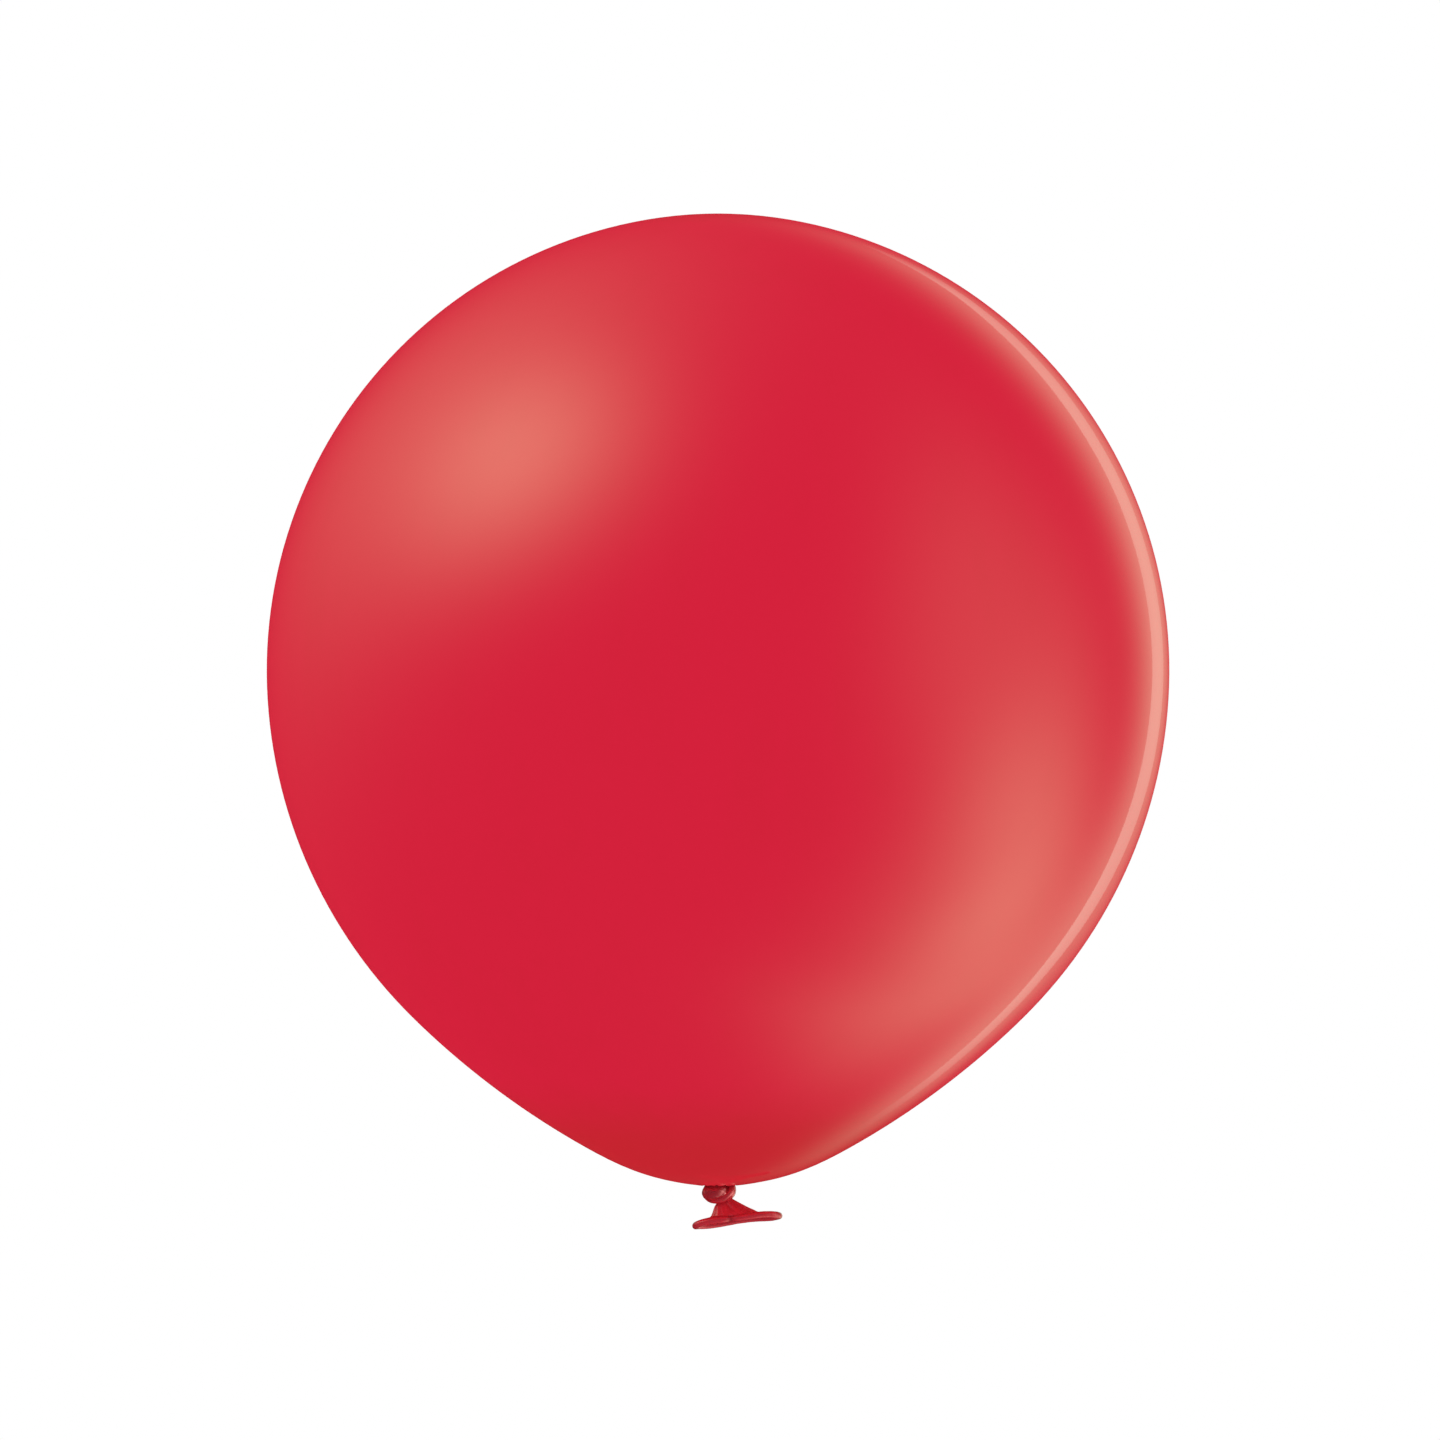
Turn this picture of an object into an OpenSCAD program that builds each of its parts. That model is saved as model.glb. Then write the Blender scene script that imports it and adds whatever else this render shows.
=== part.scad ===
// Large round latex balloon, inflated and closed with an overhand knot.
// Millimetres, +Z up. The origin is the waist of the gathered neck, where a ribbon ties.

/* [Envelope] */
// Widest diameter of the inflated envelope
body_d = 600; // [450:10:900]
// Thickness of the envelope's skin
skin_t = 0.4; // [0.3:0.1:0.8]

/* [Neck] */
// Diameter of the gathered neck at its waist
neck_d = 9; // [8:0.5:9.5]
// Height of the gathered neck between envelope and knot
neck_h = 5.2; // [4:0.2:5.6]

/* [Knot] */
// Width of the knot across its loop
knot_w = 24; // [22:0.5:25]
// Thickness of the gathered strand that makes the loop
strand_d = 8; // [7:0.2:8.4]
// Lean of the knot, which carries the tail to one side
knot_lean = 24; // [15:1:28]

/* [Tail] */
// Thickness of the strand where it leaves the knot
stem_d = 4.8; // [4:0.2:5.4]
// Width of the mouth across its rolled bead
mouth_w = 60; // [50:1:66]
// Depth of the mouth across its rolled bead, front to back
mouth_depth = 24; // [20:1:28]
// Thickness of the rolled bead round the mouth
bead_d = 5.6; // [4.6:0.2:6]
// Slope of the mouth from side to side
mouth_slope = 6; // [0:1:8]

/* [Hidden] */
$fn = 96;

latex = "#d5213b";
thick_latex = "#b91c2c";
bead_latex = "#c8283a";

// Gap between pieces that move against each other
gap = 0.3;

// Outline of the envelope, from its crown down to the edge of its stem cavity.
// Each row is [radius as a share of body_d, turn in degrees].
crown = [0.468, 10];
shoulder = [0.5073, 82.4];
belly = [0.5417, 43.1];
flank = [0.909, 16.8];
outline_turn = crown[1] + shoulder[1] + belly[1] + flank[1];

// Stem cavity: the envelope is drawn up around the neck by the knot.
cavity_edge_r = 14.5;
cavity_lip_r = 3.5;
cavity_lip_turn = 82;
cavity_wall = 6;
cavity_roof_r = 2.6;
neck_waist_above_edge = 6;

// Places of the knot, of the two bends below it and of the mouth, in the XZ plane
knot_at = [0, 0, -10.3];
sway_at = [3.5, 0, -15.4];
flap_at = [4.6, 0, -19.4];
mouth_at = [12.8, 0, -30.3];

core_r = 6.2;
core_top_z = 1.2;
core_bottom_z = -0.9;
stem_ball_r = 3.1;
flap_ball_r = 2.7;
flare_wall = 0.8;
flare_rings = 8;
flare_sides = 36;
bead_rings = 44;
bead_sides = 12;

// One step along a chain of arcs. state is [x, z, heading], arc is [radius, turn, steps]; a positive turn is clockwise.
function arc_points(state, arc) =
    let (r = arc[0], turn = arc[1], n = arc[2], step = turn / n, chord = 2 * r * sin(abs(step) / 2))
    [for (i = 0, x = state[0], z = state[1], h = state[2];
          i <= n;
          x = x + chord * cos(h - step / 2), z = z + chord * sin(h - step / 2), h = h - step, i = i + 1)
        [x, z, h]];

function chain(state, arcs, k = 0) =
    k == len(arcs) ? [] :
    let (pts = arc_points(state, arcs[k]))
    concat([for (i = [1:len(pts) - 1]) pts[i]], chain(pts[len(pts) - 1], arcs, k + 1));

function last(list) = list[len(list) - 1];
function xz(states) = [for (s = states) [s[0], s[1]]];
function widest(states) = max([for (s = states) s[0]]);

// The outline's true width for radii given as shares of body_d, which its scale then corrects
unit_arcs = [for (a = [crown, shoulder, belly, flank]) [a[0], a[1], max(2, round(a[1] / 2.5))]];
outline_scale = body_d / (2 * widest(chain([0, 0, 0], unit_arcs)));
body_arcs = [for (a = unit_arcs) [a[0] * outline_scale, a[1], a[2]]];

flank_end = last(chain([0, 0, 0], body_arcs));
base_r = flank_end[0] / sin(180 - outline_turn);
base_left = asin(cavity_edge_r / base_r);
base_turn = 180 - outline_turn - base_left;
down_body = concat(body_arcs, [[base_r, base_turn, 12]]);
cavity_edge = last(chain([0, 0, 0], down_body));
lowest = cavity_edge[1] - cavity_lip_r * (1 - cos(base_left));
crown_z = -neck_waist_above_edge - lowest;

// The skin's outer line: down the body, round the cavity's lip, up its wall, over its roof and down to the neck.
lip_turn = base_left + cavity_lip_turn;
roof_turn = -(cavity_lip_turn + 90);
wall_r = 400;
wall_turn = cavity_wall / wall_r * 180 / PI;
function skin_line(inset) = concat(
    [[0, crown_z - inset, 0]],
    chain([0, crown_z - inset, 0], concat(
        [for (a = down_body) [a[0] - inset, a[1], a[2]]],
        [[cavity_lip_r - inset, lip_turn, 8],
         [wall_r - inset, wall_turn, 2],
         [cavity_roof_r + inset, roof_turn - wall_turn, 12]])));
skin_outer = skin_line(0);
skin_inner = skin_line(skin_t);
neck_top = last(skin_outer)[1];
neck_top_r = last(skin_outer)[0];
neck_bottom = neck_top - neck_h;

// Skin of the inflated body: one film, open only at the neck
module envelope() {
    inner_up = [for (i = [len(skin_inner) - 1:-1:0]) skin_inner[i]];
    color(latex)
        rotate_extrude()
            polygon(concat(xz(skin_outer), xz(inner_up)));
}

// Film gathered into a bundle between the envelope and the knot
module neck() {
    waist_r = neck_d / 2;
    flare_z = neck_h / 2;
    color(thick_latex)
        rotate_extrude()
            polygon(concat(
                [[0, neck_bottom]],
                [for (i = [0:10])
                    let (z = neck_bottom + neck_h * i / 10, u = (z - (neck_bottom + neck_top) / 2) / flare_z)
                    [waist_r + (neck_top_r - waist_r) * u * u, z]],
                [[0, neck_top]]));
}

module in_knot() {
    translate(knot_at)
        rotate([0, -knot_lean, 0])
            children();
}

// Centre line radius of the loop, so that the knot has its full width
loop_r = (knot_w - strand_d) / 2;

// The turn of the neck that goes round
module knot_loop() {
    color(thick_latex)
        in_knot()
            rotate_extrude()
                translate([loop_r, 0])
                    circle(d = strand_d);
}

// The strand that goes through the loop, from the neck to the tail
module knot_core() {
    color(thick_latex)
        difference() {
            in_knot()
                rotate_extrude()
                    difference() {
                        union() {
                            translate([0, core_bottom_z])
                                square([core_r, core_top_z - core_bottom_z]);
                            intersection() {
                                translate([0, core_top_z])
                                    circle(r = core_r);
                                translate([0, core_top_z])
                                    square(core_r);
                            }
                            intersection() {
                                translate([0, core_bottom_z])
                                    circle(r = core_r);
                                translate([0, core_bottom_z - core_r])
                                    square(core_r);
                            }
                        }
                        translate([loop_r, 0])
                            circle(d = strand_d);
                    }
            translate(sway_at)
                sphere(r = stem_ball_r + gap);
        }
}

// Direction and length of the stem between its two bends
stem_run = flap_at - sway_at;
stem_len = norm(stem_run);
stem_lean = atan2(stem_run[0], -stem_run[2]);

// The strand between the knot and the flare, which bends sideways at its top and fore and aft at its bottom
module tail_stem() {
    color(thick_latex)
        union() {
            translate(sway_at)
                sphere(r = stem_ball_r);
            translate(sway_at)
                rotate([0, 180 - stem_lean, 0])
                    cylinder(h = stem_len, d = stem_d);
            translate(flap_at)
                sphere(r = flap_ball_r);
        }
}

// Half widths of the bead's centre line
mouth_a = (mouth_w - bead_d) / 2;
mouth_b = (mouth_depth - bead_d) / 2;

// A point of the mouth's centre line at an angle
function mouth_point(angle) =
    mouth_at + [mouth_a * cos(angle), mouth_b * sin(angle), mouth_a * cos(angle) * tan(mouth_slope)];

// Top ring of the flare: it slopes from side to side and dips at the front and back, clear of the bending stem.
collar_at = [5.2, 0, -19.2];
collar_a = 4.6;
collar_b = 4.4;
collar_slope = 1.2;
collar_dip = 1.6;

// How the flare runs from its collar to the mouth: 1 is even, less spreads early and more spreads late
lean_bend = 0.9;
drop_bend = 1.2;
spread_bend = 1.35;

// A ring of the flare. u runs from 0 at its collar to 1 at the mouth; inset moves it inwards.
function flare_ring(u, inset) =
    let (way = mouth_at - collar_at,
         centre = collar_at + [way[0] * pow(u, lean_bend), 0, way[2] * pow(u, drop_bend)],
         a = collar_a + (mouth_a - collar_a) * pow(u, spread_bend) - inset,
         b = collar_b + (mouth_b - collar_b) * u - inset,
         slope = collar_slope * (1 - u) + mouth_a * tan(mouth_slope) * u,
         dip = collar_dip * pow(1 - u, 2))
    [for (i = [0:flare_sides - 1])
        let (angle = 360 * i / flare_sides)
        centre + [a * cos(angle), b * sin(angle), slope * cos(angle) - dip * pow(sin(angle), 2)]];

// Triangles between rows of points that close on themselves; the last row joins the first
function joined_rows(rows, sides) =
    [for (j = [0:rows - 1], i = [0:sides - 1], half = [0, 1])
        let (k = (j + 1) % rows, n = (i + 1) % sides,
             p = j * sides + i, q = j * sides + n, r = k * sides + i, s = k * sides + n)
        half == 0 ? [p, r, q] : [q, r, s]];

// Open, flattened end of the neck, spreading from the knot to the mouth
module tail_flare() {
    outer = [for (j = [0:flare_rings]) flare_ring(j / flare_rings, 0)];
    inner = [for (j = [flare_rings:-1:0]) flare_ring(j / flare_rings, flare_wall)];
    rows = concat(outer, inner);
    color(latex)
        polyhedron(points = [for (row = rows, p = row) p], faces = joined_rows(len(rows), flare_sides));
}

// Rolled bead round the mouth: the film's own edge, rolled up on itself
module rim_bead() {
    rows = [for (j = [0:bead_rings - 1])
        let (angle = 360 * j / bead_rings,
             centre = mouth_point(angle),
             along = mouth_point(angle + 1) - mouth_point(angle - 1),
             out = cross(along, [0, 0, 1]) / norm(cross(along, [0, 0, 1])),
             up = cross(out, along) / norm(cross(out, along)))
        [for (i = [0:bead_sides - 1])
            let (turn = 360 * i / bead_sides)
            centre + bead_d / 2 * (cos(turn) * out + sin(turn) * up)]];
    color(bead_latex)
        polyhedron(points = [for (row = rows, p = row) p], faces = joined_rows(bead_rings, bead_sides));
}

envelope();
neck();
knot_core();
knot_loop();
tail_stem();
tail_flare();
rim_bead();
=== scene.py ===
"""Large round latex balloon, knotted, with its studio. Laid out as an add-on and run as a script."""

import math

import bmesh
import bpy
import numpy as np
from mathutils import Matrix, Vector


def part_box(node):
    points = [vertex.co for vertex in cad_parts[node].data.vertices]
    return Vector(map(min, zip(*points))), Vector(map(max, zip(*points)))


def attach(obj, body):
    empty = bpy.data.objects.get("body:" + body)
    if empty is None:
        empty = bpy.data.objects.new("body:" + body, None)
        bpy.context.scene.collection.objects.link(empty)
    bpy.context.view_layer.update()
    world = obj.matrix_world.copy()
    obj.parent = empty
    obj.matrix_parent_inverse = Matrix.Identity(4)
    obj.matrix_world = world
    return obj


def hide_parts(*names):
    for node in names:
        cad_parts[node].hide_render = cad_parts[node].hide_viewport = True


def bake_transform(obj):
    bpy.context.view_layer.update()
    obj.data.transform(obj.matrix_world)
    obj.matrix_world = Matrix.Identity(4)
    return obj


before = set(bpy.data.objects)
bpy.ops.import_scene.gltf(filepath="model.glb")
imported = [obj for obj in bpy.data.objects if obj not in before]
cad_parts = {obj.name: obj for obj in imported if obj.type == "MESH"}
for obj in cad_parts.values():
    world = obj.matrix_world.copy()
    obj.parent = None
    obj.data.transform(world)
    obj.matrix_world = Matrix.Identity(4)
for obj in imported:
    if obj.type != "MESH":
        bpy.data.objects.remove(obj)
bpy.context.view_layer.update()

bl_info = {
    "name": "Latex Balloon",
    "version": (1, 0, 0),
    "blender": (4, 5, 0),
    "location": "View3D > Sidebar > Balloon",
    "description": "Builds a knotted round latex balloon and its studio",
    "category": "Add Mesh",
}

MM = 0.001
TAU = math.tau

SKIN_LOW, SKIN_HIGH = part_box("envelope")
NECK_LOW, NECK_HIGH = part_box("neck")
BEAD_LOW, BEAD_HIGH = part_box("rim_bead")

# Outline of the inflated skin from its crown down: radius as a share of the width, turn in degrees
OUTLINE_ARCS = ((0.468, 10.0), (0.5073, 82.4), (0.5417, 43.1), (0.909, 16.8), (0.2663, 40.0))

# Gathers of the film round the neck: how many go round, how deep, where they start
GATHERS = ((13, 0.45, 0.4), (19, 0.60, 2.1), (31, 0.30, 4.0))


# ---------------------------------------------------------------- settings

class BalloonSizes(bpy.types.PropertyGroup):
    width: bpy.props.FloatProperty(
        name="Width", description="Widest diameter of the inflated skin",
        default=SKIN_HIGH.x - SKIN_LOW.x, unit="LENGTH")
    film: bpy.props.FloatProperty(
        name="Film", description="Thickness of the modelled film", default=0.4 * MM, unit="LENGTH")
    slack_film: bpy.props.FloatProperty(
        name="Slack film", description="Thickness of the tail's modelled film", default=0.6 * MM, unit="LENGTH")
    cavity_radius: bpy.props.FloatProperty(
        name="Cavity radius", description="Radius at which the skin turns in around the neck",
        default=14.5 * MM, unit="LENGTH")
    cavity_lip: bpy.props.FloatProperty(
        name="Cavity lip", description="Radius of the skin's bend into the cavity", default=3.5 * MM, unit="LENGTH")
    cavity_roof: bpy.props.FloatProperty(
        name="Cavity roof", description="Radius of the skin's bend over into the neck",
        default=2.6 * MM, unit="LENGTH")
    gather_depth: bpy.props.FloatProperty(
        name="Gather depth", description="Depth of the gathers where the skin meets the neck",
        default=0.5 * MM, unit="LENGTH")
    gather_reach: bpy.props.FloatProperty(
        name="Gather reach", description="Radius at which the gathers have faded out", default=46 * MM, unit="LENGTH")
    neck_radius: bpy.props.FloatProperty(
        name="Neck radius", description="Radius of the gathered neck at its ends",
        default=NECK_HIGH.x, unit="LENGTH")
    loop_radius: bpy.props.FloatProperty(
        name="Loop radius", description="Radius of the knot's turn, at the middle of its strand",
        default=7.4 * MM, unit="LENGTH")
    strand_radius: bpy.props.FloatProperty(
        name="Strand radius", description="Mean radius of the strand that makes the turn",
        default=3.8 * MM, unit="LENGTH")
    bead_radius: bpy.props.FloatProperty(
        name="Bead radius", description="Radius of the rolled bead round the mouth",
        default=2.25 * MM, unit="LENGTH")


class BalloonColours(bpy.types.PropertyGroup):
    skin: bpy.props.StringProperty(
        name="Skin", description="Stretched film, as an sRGB hex value", default="#D6213C")
    # Deeper red of the skin towards the neck and at the crown
    skin_deeper: bpy.props.StringProperty(
        name="Thick skin", description="Less stretched film near the neck and at the crown", default="#C82530")
    gathered: bpy.props.StringProperty(
        name="Gathered film", description="Slack film on the ridges of the neck, knot and tail", default="#B9202C")
    # The crease colours are the thicker film in the valleys and also painted shade there
    creases: bpy.props.StringProperty(
        name="Creases", description="Film in the valleys between gathers", default="#8C151E")
    spread: bpy.props.StringProperty(
        name="Spread film", description="Film of the tail and of the knot's turn", default="#D92836")
    spread_creases_and_shade: bpy.props.StringProperty(
        name="Spread film's creases", description="Film in the creases of the tail", default="#AC1C26")
    bead: bpy.props.StringProperty(
        name="Bead", description="Rolled film of the bead", default="#DC2C3A")


class BalloonStage(bpy.types.PropertyGroup):
    lens: bpy.props.FloatProperty(name="Lens", description="Focal length in millimetres", default=200.0)
    frame_width: bpy.props.FloatProperty(
        name="Frame width", description="Width of the picture at the balloon", default=0.9586, unit="LENGTH")
    look_at: bpy.props.FloatVectorProperty(
        name="Look at", description="Middle of the picture at the balloon", size=3,
        default=(0.0013, 0.0, 0.3032), subtype="TRANSLATION")
    panel_distance: bpy.props.FloatProperty(
        name="Panel distance", description="Distance of the light panels from the balloon", default=2.5, unit="LENGTH")
    panel_power: bpy.props.FloatProperty(
        name="Panel power", description="Strength of the soft boxes and the strip light", default=1.0)
    floor_drop: bpy.props.FloatProperty(
        name="Floor drop", description="Height of the knotted balloon above the floor", default=2.6, unit="LENGTH")
    ambient: bpy.props.FloatProperty(
        name="Ambient", description="Strength of the even light from all round", default=1.0)


def sizes():
    return bpy.context.scene.balloon_sizes


def colours():
    return bpy.context.scene.balloon_colours


def stage():
    return bpy.context.scene.balloon_stage


# ---------------------------------------------------------------- colour and nodes

def linear(hex_colour):
    """Linear RGBA from an sRGB hex value."""
    channels = [int(hex_colour[i:i + 2], 16) / 255 for i in (1, 3, 5)]
    return [c / 12.92 if c <= 0.04045 else ((c + 0.055) / 1.055) ** 2.4 for c in channels] + [1.0]


def add_node(tree, kind, inputs=None, **settings):
    """Adds a node; inputs gives its sockets a value or another node's output, settings its properties."""
    node = tree.nodes.new(kind)
    for name, value in settings.items():
        setattr(node, name, value)
    for socket, value in (inputs or {}).items():
        if isinstance(value, bpy.types.NodeSocket):
            tree.links.new(value, node.inputs[socket])
        else:
            node.inputs[socket].default_value = value
    return node


def new_material(name):
    """A material with an empty node tree."""
    material = bpy.data.materials.new(name)
    material.use_nodes = True
    material.node_tree.nodes.clear()
    return material, material.node_tree


def latex_surface(tree, colour, bump_height, look):
    """Dipped natural rubber: a dull body under a smooth polished skin; look is the shader's other inputs."""
    bump = add_node(tree, "ShaderNodeBump", {"Height": bump_height, "Strength": 0.25, "Distance": 0.2 * MM})
    shader = add_node(tree, "ShaderNodeBsdfPrincipled", {
        "Base Color": colour, "Normal": bump.outputs["Normal"], "Coat IOR": 1.8, **look})
    add_node(tree, "ShaderNodeOutputMaterial", {"Surface": shader.outputs["BSDF"]})


def stretched_latex():
    """Dipped natural rubber latex, inflated: taut, even and glossy, deeper in colour towards the neck, and at the
    crown where it is stretched less.
    """
    material, tree = new_material("Dipped natural latex, inflated")
    place = add_node(tree, "ShaderNodeTexCoord").outputs["Object"]
    height = add_node(tree, "ShaderNodeSeparateXYZ", {"Vector": place}).outputs["Z"]
    # Deeper in colour from 82 mm above the skin's lowest point down to 20 mm above it; the crown, stretched less, is a
    # little deeper over its top 12 mm
    low_part = add_node(tree, "ShaderNodeMapRange", {
        "Value": height, "From Min": SKIN_LOW.z + 0.082, "From Max": SKIN_LOW.z + 0.02},
        interpolation_type="SMOOTHSTEP").outputs["Result"]
    crown = add_node(tree, "ShaderNodeMapRange", {
        "Value": height, "From Min": SKIN_HIGH.z - 0.012, "From Max": SKIN_HIGH.z - 0.0005, "To Max": 0.45},
        interpolation_type="SMOOTHSTEP").outputs["Result"]
    thick = add_node(tree, "ShaderNodeMath", {0: low_part, 1: crown}, operation="MAXIMUM").outputs[0]

    # Film thickness varies in clouds about 90 mm across and in faint runs down the form it was dipped on
    clouds = add_node(tree, "ShaderNodeTexNoise", {"Vector": place, "Scale": 11.0, "Detail": 3.0}).outputs["Fac"]
    drawn_out = add_node(tree, "ShaderNodeMapping", {"Vector": place, "Scale": (1.0, 1.0, 0.12)}).outputs["Vector"]
    runs = add_node(tree, "ShaderNodeTexNoise", {
        "Vector": drawn_out, "Scale": 60.0, "Detail": 2.0, "Roughness": 0.4}).outputs["Fac"]
    uneven = add_node(tree, "ShaderNodeMath", {0: clouds, 1: runs}, operation="ADD").outputs[0]
    uneven = add_node(tree, "ShaderNodeMapRange", {
        "Value": uneven, "From Min": 0.7, "From Max": 1.3, "To Min": -0.09, "To Max": 0.09}).outputs["Result"]
    factor = add_node(tree, "ShaderNodeMath", {0: thick, 1: uneven}, operation="ADD", use_clamp=True).outputs[0]
    colour = add_node(tree, "ShaderNodeMix", {
        0: factor, 6: linear(colours().skin), 7: linear(colours().skin_deeper)}, data_type="RGBA").outputs[2]

    # Painted light: where the film is seen edge-on its colour is made brighter, to make up for what the polish
    # reflects there
    edge_on = add_node(tree, "ShaderNodeFresnel", {"IOR": 1.8}).outputs["Fac"]
    painted_edge_light = add_node(tree, "ShaderNodeMath", {0: edge_on, 1: 0.6, 2: 0.97}, operation="MULTIPLY_ADD").outputs[0]
    colour = add_node(tree, "ShaderNodeVectorMath", {0: colour, "Scale": painted_edge_light}, operation="SCALE").outputs["Vector"]

    roughness = add_node(tree, "ShaderNodeMapRange", {
        "Value": clouds, "From Min": 0.3, "From Max": 0.7, "To Min": 0.44, "To Max": 0.5}).outputs["Result"]
    grain = add_node(tree, "ShaderNodeTexNoise", {"Vector": place, "Scale": 900.0, "Detail": 2.0}).outputs["Fac"]
    grain = add_node(tree, "ShaderNodeMath", {0: grain, 1: 0.02}, operation="MULTIPLY").outputs[0]
    latex_surface(tree, colour, grain, {
        "Roughness": roughness, "Specular IOR Level": 0.0, "Coat Weight": 0.45, "Coat Roughness": 0.035})
    return material


def gathered_latex(name, ridge, valley_and_shade):
    """Slack latex in gathers: satin, deeper in colour, darkest in its creases, partly for the thicker film there and
    partly as painted shade.
    """
    material, tree = new_material(name)
    place = add_node(tree, "ShaderNodeTexCoord").outputs["Object"]
    crease = add_node(tree, "ShaderNodeAttribute", attribute_name="crease").outputs["Fac"]
    blotches = add_node(tree, "ShaderNodeTexNoise", {"Vector": place, "Scale": 260.0, "Detail": 3.0}).outputs["Fac"]
    shift = add_node(tree, "ShaderNodeMapRange", {
        "Value": blotches, "From Min": 0.3, "From Max": 0.7, "To Min": -0.12, "To Max": 0.12}).outputs["Result"]
    factor = add_node(tree, "ShaderNodeMath", {0: crease, 1: shift}, operation="ADD", use_clamp=True).outputs[0]
    # Painted shade in part: the colour darkens towards the crease colour with the depth of the crease
    colour = add_node(tree, "ShaderNodeMix", {
        0: factor, 6: linear(ridge), 7: linear(valley_and_shade)}, data_type="RGBA").outputs[2]
    roughness = add_node(tree, "ShaderNodeMapRange", {
        "Value": factor, "To Min": 0.16, "To Max": 0.34}).outputs["Result"]
    polish = add_node(tree, "ShaderNodeMapRange", {
        "Value": factor, "From Max": 0.8, "To Min": 1.0, "To Max": 0.2}).outputs["Result"]

    # Slack film puckers into wrinkles about 0.6 mm across
    wrinkles = add_node(tree, "ShaderNodeTexNoise", {
        "Vector": place, "Scale": 1400.0, "Detail": 3.0, "Distortion": 0.6}).outputs["Fac"]
    wrinkles = add_node(tree, "ShaderNodeMath", {0: wrinkles, 1: 0.35}, operation="MULTIPLY").outputs[0]
    latex_surface(tree, colour, wrinkles, {
        "Roughness": roughness, "IOR": 2.4, "Specular IOR Level": polish, "Specular Tint": (1.0, 0.32, 0.46, 1),
        "Subsurface Weight": 0.12,
        "Subsurface Radius": (1.0, 0.15, 0.1), "Subsurface Scale": 1.5 * MM})
    return material


# ---------------------------------------------------------------- modelling

def start_clear():
    """Leaves nothing selected and nothing in edit mode."""
    if bpy.context.object and bpy.context.object.mode != "OBJECT":
        bpy.ops.object.mode_set(mode="OBJECT")
    bpy.ops.object.select_all(action="DESELECT")


def named(name):
    """Names the new primitive and its mesh."""
    piece = bpy.context.object
    piece.name = name
    piece.data.name = name
    return piece


def place_applied(piece):
    """Puts the piece's place into its mesh."""
    start_clear()
    piece.select_set(True)
    bpy.context.view_layer.objects.active = piece
    bpy.ops.object.transform_apply(location=True, rotation=True, scale=True)


def points_of(piece):
    points = np.empty(len(piece.data.vertices) * 3)
    piece.data.vertices.foreach_get("co", points)
    return points.reshape(-1, 3)


def set_points(piece, points):
    piece.data.vertices.foreach_set("co", np.asarray(points, float).ravel())
    piece.data.update()


def set_crease(piece, values):
    """Stores how deep in a crease each point lies, from 0 on a ridge to 1 at the bottom of a crease; the colour
    darkens with it, partly as painted shade.
    """
    layer = piece.data.attributes.new("crease", "FLOAT", "POINT")
    layer.data.foreach_set("value", np.clip(np.asarray(values, np.float32), 0, 1))


def finish_piece(piece, material, sharp_degrees=60):
    """Outward faces, smooth shading, one material."""
    start_clear()
    piece.select_set(True)
    bpy.context.view_layer.objects.active = piece
    bpy.ops.object.mode_set(mode="EDIT")
    bpy.ops.mesh.select_all(action="SELECT")
    bpy.ops.mesh.normals_make_consistent(inside=False)
    bpy.ops.object.mode_set(mode="OBJECT")
    bpy.ops.object.shade_smooth_by_angle(angle=math.radians(sharp_degrees))
    piece.data.materials.append(material)
    start_clear()
    return piece


def extruded_rings(name, rings, close=True):
    """A skin through rings of points: a circle is added and extruded from each ring to the next."""
    start_clear()
    sides = len(rings[0])
    bpy.ops.mesh.primitive_circle_add(vertices=sides, radius=1.0, fill_type="NOTHING")
    piece = named(name)
    bpy.ops.object.mode_set(mode="EDIT")
    mesh = bmesh.from_edit_mesh(piece.data)
    for index, ring in enumerate(rings):
        if index:
            bpy.ops.mesh.extrude_region()
            mesh = bmesh.from_edit_mesh(piece.data)
        mesh.verts.ensure_lookup_table()
        for vertex, point in zip(mesh.verts[-sides:], ring):
            vertex.co = point
        bmesh.update_edit_mesh(piece.data)
    if close:
        bpy.ops.mesh.edge_face_add()
        bpy.ops.mesh.select_all(action="DESELECT")
        mesh.verts.ensure_lookup_table()
        for vertex in mesh.verts[:sides]:
            vertex.select_set(True)
        mesh.select_flush(True)
        bpy.ops.mesh.edge_face_add()
    bpy.ops.object.mode_set(mode="OBJECT")
    return piece


def gathers(angle):
    """Height of the gathered film round the neck, about -1 to 1, at an angle or an array of angles."""
    return sum(deep * np.cos(count * angle + start) for count, deep, start in GATHERS)


def smooth_step(value, low, high):
    t = np.clip((value - low) / (high - low), 0, 1)
    return t * t * (3 - 2 * t)


def flowing(stations, count):
    """count rows that run smoothly through the stations, each a row of numbers, by Catmull-Rom."""
    rows = np.array(stations, float)
    padded = np.vstack([2 * rows[0] - rows[1], rows, 2 * rows[-1] - rows[-2]])
    result = []
    for t in np.linspace(0, len(rows) - 1, count):
        k = min(int(t), len(rows) - 2)
        f = t - k
        a, b, c, d = padded[k:k + 4]
        result.append(0.5 * (2 * b + (c - a) * f + (2 * a - 5 * b + 4 * c - d) * f ** 2
                             + (3 * b - a - 3 * c + d) * f ** 3))
    return np.array(result)


# ---------------------------------------------------------------- skin

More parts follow.
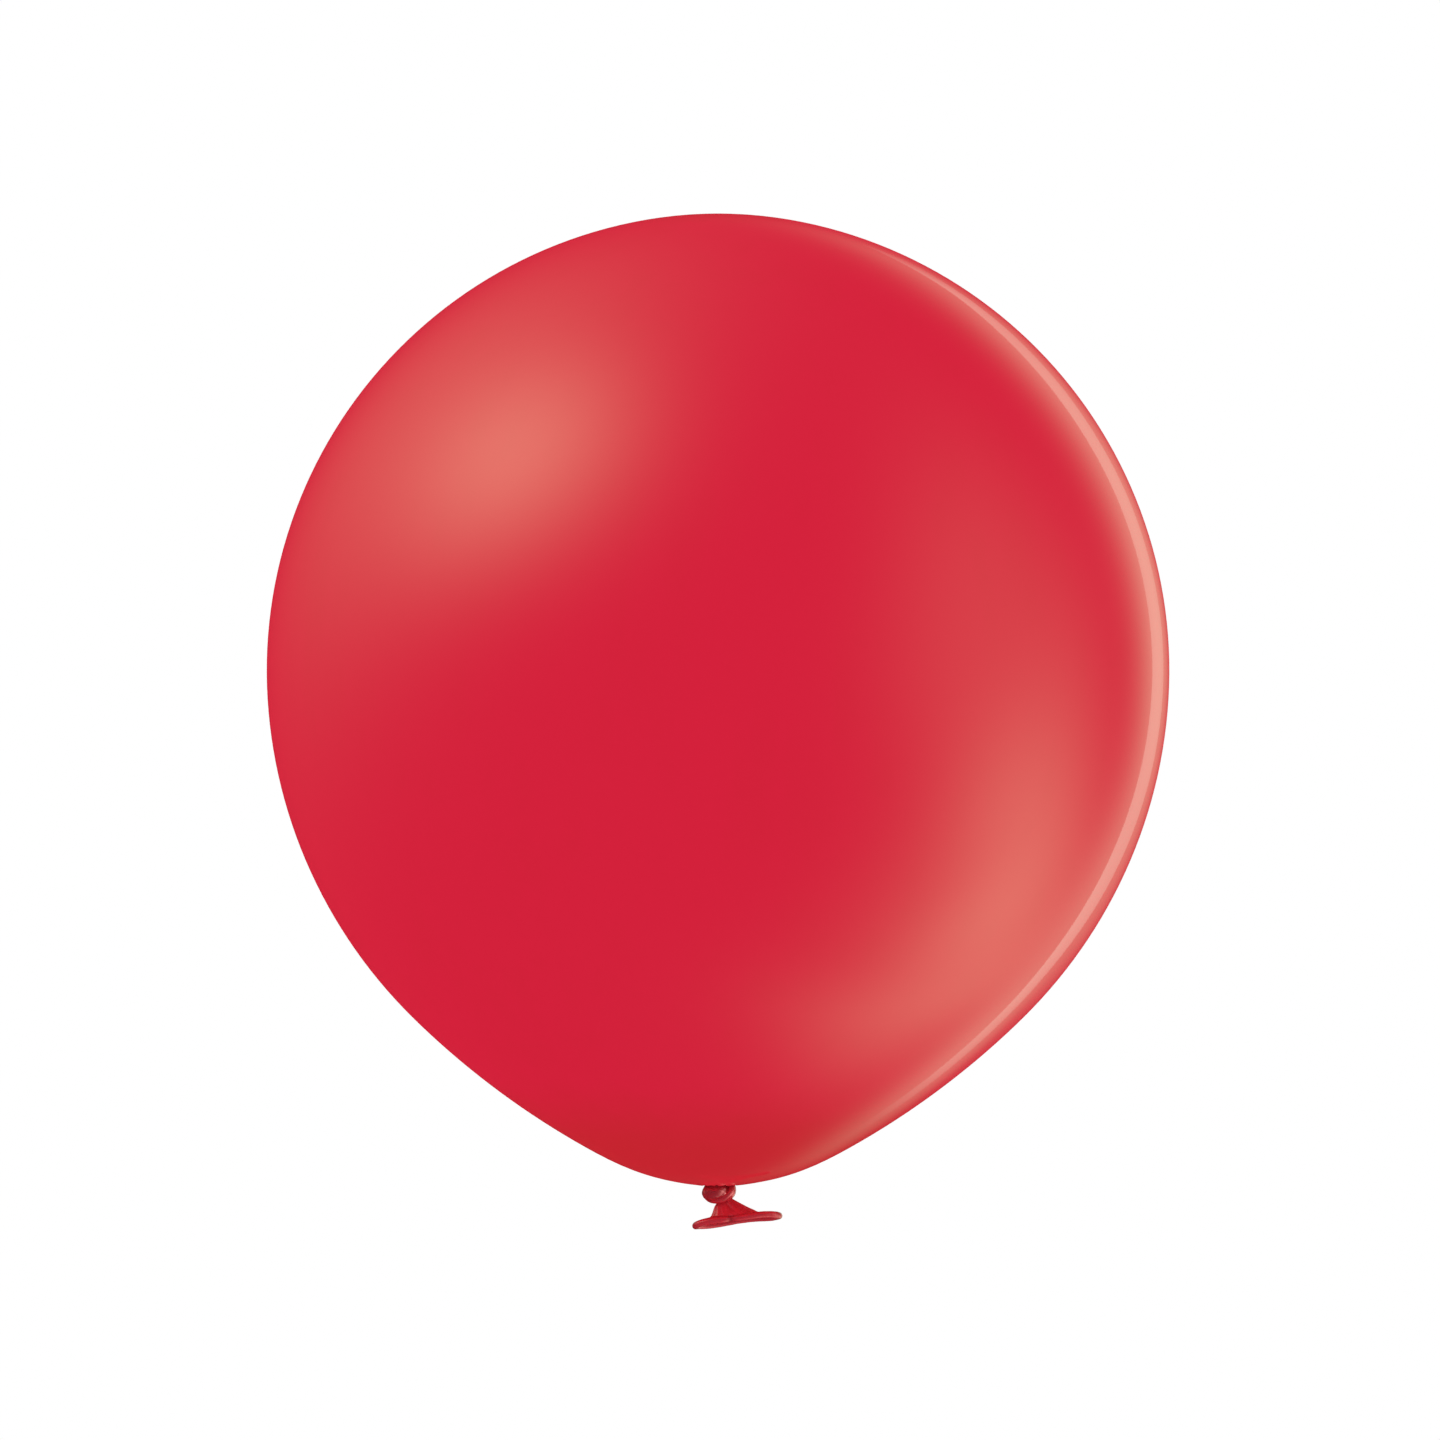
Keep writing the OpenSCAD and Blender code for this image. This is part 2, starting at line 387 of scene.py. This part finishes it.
def skin_outline():
    """Points (radius, height) of the skin from its crown to the neck, its curvature eased from arc to arc."""
    s = sizes()
    step = 0.5 * MM
    ease = 50 * MM
    bend = np.concatenate([
        np.full(max(1, round(radius * s.width * math.radians(turn) / step)), 1 / (radius * s.width))
        for radius, turn in OUTLINE_ARCS])
    half = int(ease / step / 2)
    window = np.hanning(2 * half + 1)
    eased = np.convolve(np.concatenate([bend[half:0:-1], bend, np.full(half, bend[-1])]),
                        window / window.sum(), "valid")
    heading = -(np.cumsum(eased) - eased / 2) * step
    x = np.cumsum(np.cos(heading)) * step
    z = np.cumsum(np.sin(heading)) * step
    scale = s.width / 2 / x.max()
    x, z = x * scale, z * scale
    last = np.argmax((x < s.cavity_radius) & (z < -s.width / 2))
    body = [(0.0, 0.0)]
    travelled = 0.0
    coarse, fine = 8 * MM, 1.6 * MM
    for i in range(last):
        travelled += step * scale
        spacing = coarse if x[i] > s.gather_reach + coarse or z[i] > -s.width / 2 else fine
        if travelled >= spacing:
            body.append((x[i], z[i]))
            travelled = 0.0
    state = [x[last], z[last], heading[last]]
    body.append((state[0], state[1]))
    wall_radius, wall_turn = 400 * MM, math.radians(0.86)
    steepness = math.radians(82)
    lip_turn = steepness + (math.pi + heading[last])
    roof_turn = -(steepness + math.pi / 2) - wall_turn
    for radius, turn, count in ((s.cavity_lip, lip_turn, 12), (wall_radius, wall_turn, 6),
                                (s.cavity_roof, roof_turn, 16)):
        for _ in range(count):
            part = turn / count
            chord = 2 * radius * math.sin(abs(part) / 2)
            state[0] += chord * math.cos(state[2] - part / 2)
            state[1] += chord * math.sin(state[2] - part / 2)
            state[2] -= part
            body.append((state[0], state[1]))
    drop = SKIN_LOW.z - min(p[1] for p in body)
    return [(p[0], p[1] + drop) for p in body]


class BALLOON_OT_skin(bpy.types.Operator):
    """Spins the inflated skin from its outline, gathers it at the neck and gives it its thickness"""
    bl_idname = "balloon.skin"
    bl_label = "Inflated skin"

    def execute(self, context):
        s = sizes()
        outline = skin_outline()
        start_clear()
        bpy.ops.mesh.primitive_plane_add(size=1 * MM, location=(0, 0, outline[0][1]))
        skin = named("Inflated_skin")
        place_applied(skin)
        skin.select_set(True)
        bpy.ops.object.mode_set(mode="EDIT")
        bpy.ops.mesh.select_all(action="SELECT")
        bpy.ops.mesh.merge(type="CENTER")
        for before, after in zip(outline, outline[1:]):
            bpy.ops.mesh.extrude_region_move(TRANSFORM_OT_translate={
                "value": (after[0] - before[0], 0, after[1] - before[1])})
        bpy.ops.mesh.select_all(action="SELECT")
        bpy.ops.mesh.spin(steps=256, angle=TAU, center=(0, 0, 0), axis=(0, 0, 1))
        bpy.ops.mesh.select_all(action="SELECT")
        bpy.ops.mesh.remove_doubles(threshold=0.01 * MM)
        bpy.ops.mesh.normals_make_consistent(inside=False)
        bpy.ops.object.mode_set(mode="OBJECT")

        points = points_of(skin)
        radius = np.hypot(points[:, 0], points[:, 1])
        angle = np.arctan2(points[:, 1], points[:, 0])
        lower = points[:, 2] < SKIN_LOW.z + 0.1
        fade = smooth_step(-radius, -s.gather_reach, -s.neck_radius) ** 2 * lower
        normals = np.empty(len(points) * 3)
        skin.data.vertices.foreach_get("normal", normals)
        push = fade * s.gather_depth * gathers(angle)
        set_points(skin, points + normals.reshape(-1, 3) * push[:, None])
        wall = skin.modifiers.new("Film", "SOLIDIFY")
        wall.thickness = s.film
        wall.offset = -1.0
        skin.select_set(True)
        context.view_layer.objects.active = skin
        bpy.ops.object.modifier_apply(modifier=wall.name)
        finish_piece(skin, stretched_latex(), 75)
        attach(skin, "envelope")
        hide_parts("envelope")
        return {"FINISHED"}


# ---------------------------------------------------------------- neck

class BALLOON_OT_neck(bpy.types.Operator):
    """Gathers the film into the neck between the skin and the knot"""
    bl_idname = "balloon.neck"
    bl_label = "Gathered neck"

    def execute(self, context):
        s = sizes()
        angles = np.linspace(0, TAU, 144, endpoint=False)
        into_skin, into_knot = 0.9 * MM, 2.5 * MM
        narrowing, twist = 0.1, 0.35
        top = NECK_HIGH.z + into_skin
        bottom = NECK_LOW.z - into_knot
        rings, crease = [], []
        for share in np.linspace(0, 1, 30):
            waist = 1 - narrowing * math.sin(math.pi * min(1.0, share * 1.4))
            ripple = gathers(angles + twist * share)
            radius = s.neck_radius * waist + s.gather_depth * ripple
            rings.append(np.column_stack([
                radius * np.cos(angles), radius * np.sin(angles),
                np.full_like(angles, top + (bottom - top) * share)]))
            crease.extend(0.45 - 0.45 * ripple)
        neck = extruded_rings("Gathered_neck", rings)
        set_crease(neck, crease)
        finish_piece(neck, gathered_latex("Natural latex, gathered neck", colours().gathered, colours().creases))
        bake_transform(neck)
        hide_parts("neck")
        return {"FINISHED"}


# ---------------------------------------------------------------- knot

# The turn: its middle in millimetres and the direction that its strand goes round
TURN_MIDDLE = Vector((0.9, 0.8, -10.7)) * MM
TURN_AXIS = Vector((-0.2, -0.68, 0.7)).normalized()

# The strand through the turn as swollen lengths from the neck to the tail, in millimetres:
# middle, half sizes along its own axes, lean in degrees
STRAND_SWELLS = (
    ((0.0, 0.0, -3.4), (4.1, 4.1, 3.6), 0),
    ((-1.4, -1.6, -6.2), (5.4, 4.8, 3.6), 20),
    ((-2.3, -3.6, -10.3), (8.7, 7.0, 6.5), 18),
    ((3.2, -1.6, -10.4), (3.6, 5.2, 4.6), 0),
    ((2.4, -5.6, -11.2), (3.5, 3.1, 3.1), 0),
    ((2.4, -1.0, -13.0), (3.6, 3.6, 3.4), 30),
    ((3.2, 0.4, -15.6), (3.0, 2.8, 3.2), 0),
)


def swollen_form(name, swells, voxel):
    """One smooth closed skin round a row of overlapping swellings."""
    start_clear()
    parts = []
    for middle, half, lean in swells:
        bpy.ops.mesh.primitive_ico_sphere_add(subdivisions=4, radius=1.0)
        part = named(name)
        part.scale = Vector(half) * MM
        part.rotation_euler = (0, -math.radians(lean), 0)
        part.location = Vector(middle) * MM
        parts.append(part)
    for part in parts:
        part.select_set(True)
    bpy.context.view_layer.objects.active = parts[0]
    bpy.ops.object.join()
    form = bpy.context.object
    place_applied(form)
    form.select_set(True)
    bpy.context.view_layer.objects.active = form
    remesh = form.modifiers.new("Skin", "REMESH")
    remesh.mode = "VOXEL"
    remesh.voxel_size = voxel
    smooth = form.modifiers.new("Ease", "SMOOTH")
    smooth.factor = 0.5
    smooth.iterations = 16
    for modifier in (remesh, smooth):
        bpy.ops.object.modifier_apply(modifier=modifier.name)
    return form


def wrinkle(piece, middle, axis, depth, counts):
    """Pushes wrinkles that run along an axis into a form, and stores them as its creases."""
    points = points_of(piece)
    normals = np.empty(len(points) * 3)
    piece.data.vertices.foreach_get("normal", normals)
    axis = Vector(axis).normalized()
    side = axis.orthogonal().normalized()
    off = points - np.array(middle)
    along = off @ np.array(axis)
    angle = np.arctan2(off @ np.array(axis.cross(side)), off @ np.array(side))
    ripple = sum(share * np.cos(count * angle + start + twist * along / MM)
                 for count, share, start, twist in counts)
    set_points(piece, points + normals.reshape(-1, 3) * (depth * ripple)[:, None])
    set_crease(piece, 0.35 - 0.3 * ripple)


def strand_section(angle, along, seed):
    """Height of the creases that run along a twisted strand, about -1 to 1."""
    return (0.55 * np.cos(9 * angle + 1.3 * along + seed) + 0.35 * np.cos(16 * angle - 0.9 * along + 2.1 * seed)
            + 0.2 * np.cos(5 * angle + 3.1 * along + 0.7 * seed))


class BALLOON_OT_knot(bpy.types.Operator):
    """Ties the overhand knot: the strand that goes through, and the turn that goes round it"""
    bl_idname = "balloon.knot"
    bl_label = "Knot"

    def execute(self, context):
        s = sizes()
        material = gathered_latex("Natural latex, knotted", colours().gathered, colours().creases)
        core = swollen_form("Knot_strand", STRAND_SWELLS, 0.32 * MM)
        wrinkle(core, Vector((-2.6, -3.6, -10.4)) * MM, (0.8, 0.45, -0.4), 0.07 * MM,
                ((11, 0.5, 0.4, 0.3), (17, 0.3, 2.0, -0.25), (5, 0.5, 1.1, 0.2)))
        finish_piece(core, material)
        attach(core, "knot")
        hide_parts("knot_core")

        start_clear()
        around, across = 160, 64
        bpy.ops.mesh.primitive_torus_add(
            major_segments=around, minor_segments=across,
            major_radius=s.loop_radius, minor_radius=s.strand_radius)
        turn = named("Knot_turn")
        first = (Vector((1, 0, 0)) - TURN_AXIS * TURN_AXIS.x).normalized()
        second = first.cross(TURN_AXIS)
        points, crease = [], []
        for i in range(around):
            phi = TAU * i / around
            out = first * math.cos(phi) + second * math.sin(phi)
            low = max(0.0, math.sin(phi))
            thick = s.strand_radius * (1.1 - 0.44 * low ** 1.5)
            middle = TURN_MIDDLE + out * s.loop_radius
            for j in range(across):
                psi = TAU * j / across
                ripple = strand_section(psi + 0.5 * math.sin(phi), 3 * math.cos(phi), 2.3)
                reach = thick * (1 + 0.022 * ripple)
                points.append(middle + out * (reach * 0.92 * math.cos(psi))
                              + TURN_AXIS * (reach * 1.12 * math.sin(psi)))
                crease.append(0.3 - 0.3 * ripple)
        set_points(turn, [tuple(p) for p in points])
        place_applied(turn)
        set_crease(turn, crease)
        finish_piece(turn, gathered_latex("Natural latex, turned", colours().spread, colours().creases))
        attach(turn, "knot")
        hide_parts("knot_loop")
        return {"FINISHED"}


# ---------------------------------------------------------------- tail

# Rings of the tail from inside the knot to the mouth, in millimetres:
# middle x, y, z, half width, half depth, rise of its right side, depth of its creases
TAIL_STATIONS = (
    (3.0, 0.6, -13.6, 3.6, 3.0, 0.6, 0.25),
    (3.7, 0.5, -15.6, 4.6, 3.1, 1.1, 0.30),
    (4.6, 0.3, -17.3, 5.7, 3.3, 1.4, 0.34),
    (6.1, 0.0, -19.5, 8.4, 4.2, 1.3, 0.36),
    (8.2, 0.0, -22.0, 11.3, 5.6, 1.2, 0.32),
    (10.0, 0.0, -24.3, 14.0, 7.0, 1.5, 0.26),
    (10.9, 0.0, -26.2, 16.6, 7.8, 1.9, 0.18),
    (12.8, 0.0, -29.0, 26.0, 8.6, 2.8, 0.10),
)
BUNDLE_SHARE = 0.46


def mouth_line(angles):
    """Middle of the rolled bead at angles from the balloon's right towards its back, in metres."""
    s = sizes()
    middle = (BEAD_LOW + BEAD_HIGH) / 2
    wide = (BEAD_HIGH.x - BEAD_LOW.x) / 2 - s.bead_radius
    deep = (BEAD_HIGH.y - BEAD_LOW.y) / 2 - s.bead_radius - 0.6 * MM
    turn = (np.degrees(angles) + 180) % 360 - 180
    left = np.maximum(-np.cos(angles), 0)
    near_right = np.exp(-((turn + 40) / 28) ** 2)
    dent = np.exp(-((turn + 99) / 6) ** 2)
    return np.column_stack([
        middle.x + wide * np.cos(angles),
        middle.y + deep * np.sin(angles) * (1 + 0.08 * np.cos(2 * angles)) + 1.0 * MM * dent,
        middle.z + MM * (1.2 - np.cos(angles) ** 2 + 2.85 * np.cos(angles) - (1.35 + 1.5 * left) * np.sin(angles)
                         - 0.5 * left + 1.2 * near_right + 0.2 * np.sin(5 * angles + 1))])


def tail_rings(first, last, count, sides):
    """Rings of the tail between two shares of its length, with how deep in a crease each point is."""
    angles = np.linspace(0, TAU, sides, endpoint=False)
    table = flowing(TAIL_STATIONS, 241)
    rings, crease = [], []
    for share in np.linspace(first, last, count):
        x, y, z, wide, deep, rise, folds = table[round(share * 240)]
        ripple = (0.5 * np.cos(11 * angles + 0.6 + 1.2 * share) + 0.35 * np.cos(7 * angles + 2.2)
                  + 0.3 * np.cos(17 * angles + 4.4 - 1.5 * share))
        swell = folds * ripple
        ring = np.column_stack([
            x + (wide + swell) * np.cos(angles),
            y + (deep + swell) * np.sin(angles),
            z + rise * np.cos(angles)]) * MM
        at_mouth = smooth_step(share, 0.78, 1.0)
        rings.append(ring * (1 - at_mouth) + mouth_line(angles) * at_mouth)
        crease.extend((0.35 - 0.35 * ripple) * (1 - 0.5 * share))
    return rings, crease


class BALLOON_OT_tail(bpy.types.Operator):
    """Opens the film from the bundle under the knot to its mouth"""
    bl_idname = "balloon.tail"
    bl_label = "Tail and rolled lip"

    def execute(self, context):
        s = sizes()
        material = gathered_latex("Natural latex, tail", colours().spread, colours().spread_creases_and_shade)
        rings, crease = tail_rings(0.0, BUNDLE_SHARE, 36, 120)
        bundle = extruded_rings("Tail_bundle", rings)
        set_crease(bundle, crease)
        finish_piece(bundle, material)
        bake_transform(bundle)
        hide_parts("tail_stem")

        rings, crease = tail_rings(BUNDLE_SHARE, 1.0, 60, 120)
        flare = extruded_rings("Tail_flare", rings, close=False)
        set_crease(flare, crease)
        wall = flare.modifiers.new("Film", "SOLIDIFY")
        wall.thickness = s.slack_film
        wall.offset = -1.0
        flare.select_set(True)
        context.view_layer.objects.active = flare
        bpy.ops.object.modifier_apply(modifier=wall.name)
        finish_piece(flare, material)
        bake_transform(flare)
        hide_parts("tail_flare")
        return {"FINISHED"}


class BALLOON_OT_bead(bpy.types.Operator):
    """Rolls the edge of the mouth into its bead"""
    bl_idname = "balloon.bead"
    bl_label = "Rolled bead"

    def execute(self, context):
        s = sizes()
        start_clear()
        around, across = 256, 40
        bpy.ops.mesh.primitive_torus_add(
            major_segments=around, minor_segments=across,
            major_radius=20 * MM, minor_radius=s.bead_radius)
        bead = named("Rolled_bead")
        angles = np.linspace(0, TAU, around, endpoint=False)
        line = mouth_line(angles)
        forward = np.roll(line, -1, axis=0) - np.roll(line, 1, axis=0)
        points, crease = [], []
        for phi, centre, ahead in zip(angles, line, forward):
            dent = math.exp(-((math.degrees(phi) - 261) / 6) ** 2)
            swell = 1 + 0.05 * math.cos(3 * phi + 1) + 0.04 * math.cos(7 * phi + 2) - 0.2 * dent
            out = Vector(ahead).cross((0, 0, 1)).normalized()
            up = out.cross(Vector(ahead)).normalized()
            for j in range(across):
                psi = TAU * j / across
                fold = 0.007 * math.cos(61 * phi + 2 * math.sin(psi)) + 0.008 * math.cos(23 * phi + psi)
                reach = s.bead_radius * (swell + fold)
                points.append(Vector(centre) + out * reach * math.cos(psi) + up * reach * math.sin(psi))
                # The colour darkens in the bead's folds, its dent and its two ends, partly for thicker film and partly
                # as painted shade
                crease.append(0.2 - 8 * fold + 0.6 * dent + 0.6 * math.cos(phi) ** 12)
        set_points(bead, [tuple(p) for p in points])
        place_applied(bead)
        set_crease(bead, crease)
        finish_piece(bead, gathered_latex("Natural latex, rolled bead", colours().bead, colours().creases))
        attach(bead, "tail")
        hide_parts("rim_bead")
        return {"FINISHED"}


# ---------------------------------------------------------------- stage

# Directions from the balloon are in degrees: azimuth from straight behind it towards its right, and elevation.
# Soft boxes, all behind one diffusing dome: azimuth, elevation, reach along and across, tilt, strength
SOFT_BOXES = (
    (-115, 44, 17, 15, 18, 2.92),
    (-82, 43, 24, 26, -36, 1.48),
    (119, 17, 22, 14, 60, 0.67),
    (97, -25, 17, 28, -8, 1.48),
    (80, -29, 25, 12, -19, 1.35),
    (66, -55, 8, 17, -29, 1.34),
    (84, -43, 12, 8, 44, 1.04),
)
# Strip light behind the balloon on its right, and the glow round it: azimuth, elevation, half width, strength
STRIP = (
    (11, 26, 2.0, 0.09), (15, 27.5, 2.6, 0.30), (19.3, 27, 3.0, 0.68), (25.3, 25.8, 4.4, 0.62),
    (30, 22.3, 5.2, 0.74), (33.3, 17.7, 5.4, 0.78), (34.7, 9, 6.2, 0.62), (35, 2, 6.4, 0.70),
    (36, -8, 5.8, 0.84), (36.2, -17, 4.8, 1.01), (34.3, -24.2, 3.8, 1.05), (28.9, -28.3, 3.2, 0.69),
    (25, -31, 3.2, 0.57), (21, -34, 3.0, 0.1), (17.5, -36.5, 2.5, 0.0))
STRIP_GLOW = (
    (15, 30, 15, 0.0), (21, 29.5, 18, 0.74), (27, 28, 22, 1.02), (33, 24.5, 26, 1.34), (37, 18.5, 28, 1.49),
    (38.5, 10, 29, 1.65), (38.8, 2, 29, 1.60), (39.3, -8, 29, 1.35), (39.5, -17, 27, 1.22),
    (37.5, -25, 24, 1.05), (32, -30.5, 22, 1.15), (27, -34.5, 19, 0.55), (22, -39, 16, 0.0))


def towards(azimuth, elevation):
    a, e = math.radians(azimuth), math.radians(elevation)
    return np.array([math.sin(a) * math.cos(e), math.cos(a) * math.cos(e), math.sin(e)])


def light_only_in_gloss(piece, glow, colour):
    """Makes a piece of the studio shine with its glow, and show in nothing but the balloon's gloss."""
    layer = piece.data.attributes.new("glow", "FLOAT", "POINT")
    layer.data.foreach_set("value", np.asarray(glow, np.float32))
    material, tree = new_material(piece.name + " light")
    power = add_node(tree, "ShaderNodeAttribute", attribute_name="glow").outputs["Fac"]
    light = add_node(tree, "ShaderNodeEmission", {"Color": colour, "Strength": power}).outputs[0]
    clear = add_node(tree, "ShaderNodeBsdfTransparent").outputs[0]
    both = add_node(tree, "ShaderNodeAddShader", {0: light, 1: clear}).outputs[0]
    add_node(tree, "ShaderNodeOutputMaterial", {"Surface": both})
    piece.data.materials.append(material)
    piece.visible_camera = False
    piece.visible_diffuse = False
    piece.visible_shadow = False


def soft_box_glow(directions):
    """Strength of the soft boxes, seen through the dome in each direction."""
    glow = np.zeros(len(directions))
    for azimuth, elevation, along, across, tilt, strength in SOFT_BOXES:
        ahead = towards(azimuth, elevation)
        side = np.cross((0, 0, 1), ahead)
        side /= np.linalg.norm(side)
        x, y = directions @ side, directions @ np.cross(ahead, side)
        off = np.hypot(x, y)
        spread = np.degrees(np.arctan2(off, directions @ ahead)) / np.maximum(off, 1e-9)
        x, y, t = x * spread, y * spread, math.radians(tilt)
        u, v = (x * math.cos(t) + y * math.sin(t)) / along, (y * math.cos(t) - x * math.sin(t)) / across
        glow += strength * np.exp(-0.5 * (u * u + v * v))
    return glow


def strip_glow(directions):
    """Strength of the strip light's glow on the cloth round it, in each direction."""
    line = flowing([(*towards(a, e), wide, power) for a, e, wide, power in STRIP_GLOW], 121)
    middles = line[:, :3] / np.linalg.norm(line[:, :3], axis=1)[:, None]
    away = np.degrees(np.arccos(np.clip(directions @ middles.T, -1, 1)))
    return (np.maximum(line[:, 4], 0) * np.exp(-0.5 * (2.5 * away / line[:, 3]) ** 2)).max(axis=1)


def light_dome(name, glow_of, colour, distance):
    """Dome of diffusing cloth, lit from behind."""
    start_clear()
    bpy.ops.mesh.primitive_uv_sphere_add(segments=144, ring_count=72, radius=distance, location=stage().look_at)
    dome = named(name)
    place_applied(dome)
    directions = (points_of(dome) - np.array(stage().look_at)) / distance
    light_only_in_gloss(dome, glow_of(directions) * stage().panel_power, colour)


def light_band(name, stations, colour, distance):
    """A curved band of light, a little stronger along its outer edge."""
    start_clear()
    along, across = 120, 24
    bpy.ops.mesh.primitive_grid_add(x_subdivisions=along, y_subdivisions=across, size=1.0)
    band = named(name)
    line = flowing([(*towards(a, e), wide, power) for a, e, wide, power in stations], along + 1)
    reach = 9
    ease = np.hanning(2 * reach + 1)
    ease /= ease.sum()
    padded = np.pad(line, ((reach, reach), (0, 0)), "reflect", reflect_type="odd")
    line = np.column_stack([np.convolve(column, ease, "valid") for column in padded.T])
    middles = line[:, :3] / np.linalg.norm(line[:, :3], axis=1)[:, None]
    sides = np.cross(middles, np.gradient(middles, axis=0))
    sides /= np.linalg.norm(sides, axis=1)[:, None]
    centre = np.array(stage().look_at)
    points, glow = [], []
    for share in np.linspace(-1, 1, across + 1):
        turn = np.radians(line[:, 3]) * share
        points.append(centre + distance * (middles * np.cos(turn)[:, None] + sides * np.sin(turn)[:, None]))
        glow.append(np.maximum(line[:, 4], 0) * (1 - 0.3 * share))
    set_points(band, np.concatenate(points))
    light_only_in_gloss(band, np.concatenate(glow) * stage().panel_power, colour)


def even_light():
    """White all round: the backdrop to the eye, even light on the balloon, and next to nothing in its gloss."""
    world = bpy.data.worlds.new("White studio")
    bpy.context.scene.world = world
    world.use_nodes = True
    tree = world.node_tree
    tree.nodes.clear()
    ray = add_node(tree, "ShaderNodeLightPath")
    direction = add_node(tree, "ShaderNodeTexCoord").outputs["Generated"]
    up = add_node(tree, "ShaderNodeSeparateXYZ", {"Vector": direction}).outputs["Z"]
    ambient = add_node(tree, "ShaderNodeMapRange", {
        "Value": up, "From Min": -1.0, "From Max": 1.0,
        "To Min": 1.03 * stage().ambient, "To Max": 1.0 * stage().ambient}).outputs["Result"]
    dim = add_node(tree, "ShaderNodeMapRange", {
        "Value": ray.outputs["Is Glossy Ray"], "To Min": 1.0, "To Max": 0.0}).outputs["Result"]
    strength = add_node(tree, "ShaderNodeMath", {0: ambient, 1: dim}, operation="MULTIPLY").outputs[0]
    light = add_node(tree, "ShaderNodeBackground", {"Color": (1, 1, 1, 1), "Strength": strength}).outputs[0]
    backdrop = add_node(tree, "ShaderNodeBackground", {"Color": (1, 1, 1, 1), "Strength": 1.0}).outputs[0]
    seen = add_node(tree, "ShaderNodeMixShader", {0: ray.outputs["Is Camera Ray"], 1: light, 2: backdrop}).outputs[0]
    add_node(tree, "ShaderNodeOutputWorld", {"Surface": seen})


def pale_floor():
    """Matt pale floor that fades into the white backdrop; it is clear from below."""
    start_clear()
    bpy.ops.mesh.primitive_circle_add(
        vertices=96, radius=9.0, fill_type="NGON", location=(0, 0, BEAD_LOW.z - stage().floor_drop))
    floor = named("Pale_floor")
    place_applied(floor)
    material, tree = new_material("Matt white floor paint")
    place = add_node(tree, "ShaderNodeTexCoord").outputs["Object"]
    flat = add_node(tree, "ShaderNodeMapping", {"Vector": place, "Scale": (1, 1, 0)}).outputs["Vector"]
    reach = add_node(tree, "ShaderNodeVectorMath", {0: flat}, operation="LENGTH").outputs["Value"]
    fade = add_node(tree, "ShaderNodeMapRange", {
        "Value": reach, "From Min": 4.5, "From Max": 8.8}, interpolation_type="SMOOTHSTEP").outputs["Result"]
    below = add_node(tree, "ShaderNodeNewGeometry").outputs["Backfacing"]
    gone = add_node(tree, "ShaderNodeMath", {0: fade, 1: below}, operation="MAXIMUM").outputs[0]
    paint = add_node(tree, "ShaderNodeBsdfDiffuse", {"Color": linear("#FAF9F7")}).outputs[0]
    clear = add_node(tree, "ShaderNodeBsdfTransparent").outputs[0]
    both = add_node(tree, "ShaderNodeMixShader", {0: gone, 1: paint, 2: clear}).outputs[0]
    add_node(tree, "ShaderNodeOutputMaterial", {"Surface": both})
    floor.data.materials.append(material)
    floor.visible_glossy = False


class BALLOON_OT_stage(bpy.types.Operator):
    """Sets the camera, the even white light, the soft light panels and the pale floor"""
    bl_idname = "balloon.stage"
    bl_label = "Studio"

    def execute(self, context):
        st = stage()
        scene = context.scene
        scene.view_settings.view_transform = "Standard"
        camera = bpy.data.objects.new("Camera", bpy.data.cameras.new("Camera"))
        scene.collection.objects.link(camera)
        camera.data.lens = st.lens
        camera.data.sensor_width = 36.0
        distance = st.frame_width * st.lens / camera.data.sensor_width
        camera.location = Vector(st.look_at) + Vector((0, -distance, 0))
        camera.rotation_euler = (math.radians(90), 0, 0)
        scene.camera = camera

        light_dome("Light_dome", soft_box_glow, (0.8, 1.0, 0.62, 1.0), st.panel_distance)
        light_dome("Strip_glow", strip_glow, (0.62, 1.0, 0.66, 1.0), st.panel_distance - 0.05)
        light_band("Strip_light", STRIP, (0.62, 1.0, 0.85, 1.0), st.panel_distance - 0.1)
        even_light()
        pale_floor()
        return {"FINISHED"}


# ---------------------------------------------------------------- add-on

class BALLOON_PT_build(bpy.types.Panel):
    """Lists the balloon's steps and settings"""
    bl_label = "Latex Balloon"
    bl_idname = "BALLOON_PT_build"
    bl_space_type = "VIEW_3D"
    bl_region_type = "UI"
    bl_category = "Balloon"

    def draw(self, context):
        for step in STEPS:
            self.layout.operator(step.bl_idname)
        for group in (context.scene.balloon_sizes, context.scene.balloon_colours, context.scene.balloon_stage):
            for name in group.__annotations__:
                self.layout.prop(group, name)


STEPS = (BALLOON_OT_skin, BALLOON_OT_neck, BALLOON_OT_knot, BALLOON_OT_tail, BALLOON_OT_bead, BALLOON_OT_stage)
GROUPS = {"balloon_sizes": BalloonSizes, "balloon_colours": BalloonColours, "balloon_stage": BalloonStage}


def register():
    for cls in (*GROUPS.values(), *STEPS, BALLOON_PT_build):
        bpy.utils.register_class(cls)
    for name, group in GROUPS.items():
        setattr(bpy.types.Scene, name, bpy.props.PointerProperty(type=group))


def unregister():
    for name in GROUPS:
        delattr(bpy.types.Scene, name)
    for cls in (BALLOON_PT_build, *reversed(STEPS), *GROUPS.values()):
        bpy.utils.unregister_class(cls)


def main():
    register()
    bpy.ops.balloon.skin()
    bpy.ops.balloon.neck()
    bpy.ops.balloon.knot()
    bpy.ops.balloon.tail()
    bpy.ops.balloon.bead()
    bpy.ops.balloon.stage()


if __name__ == "__main__":
    main()
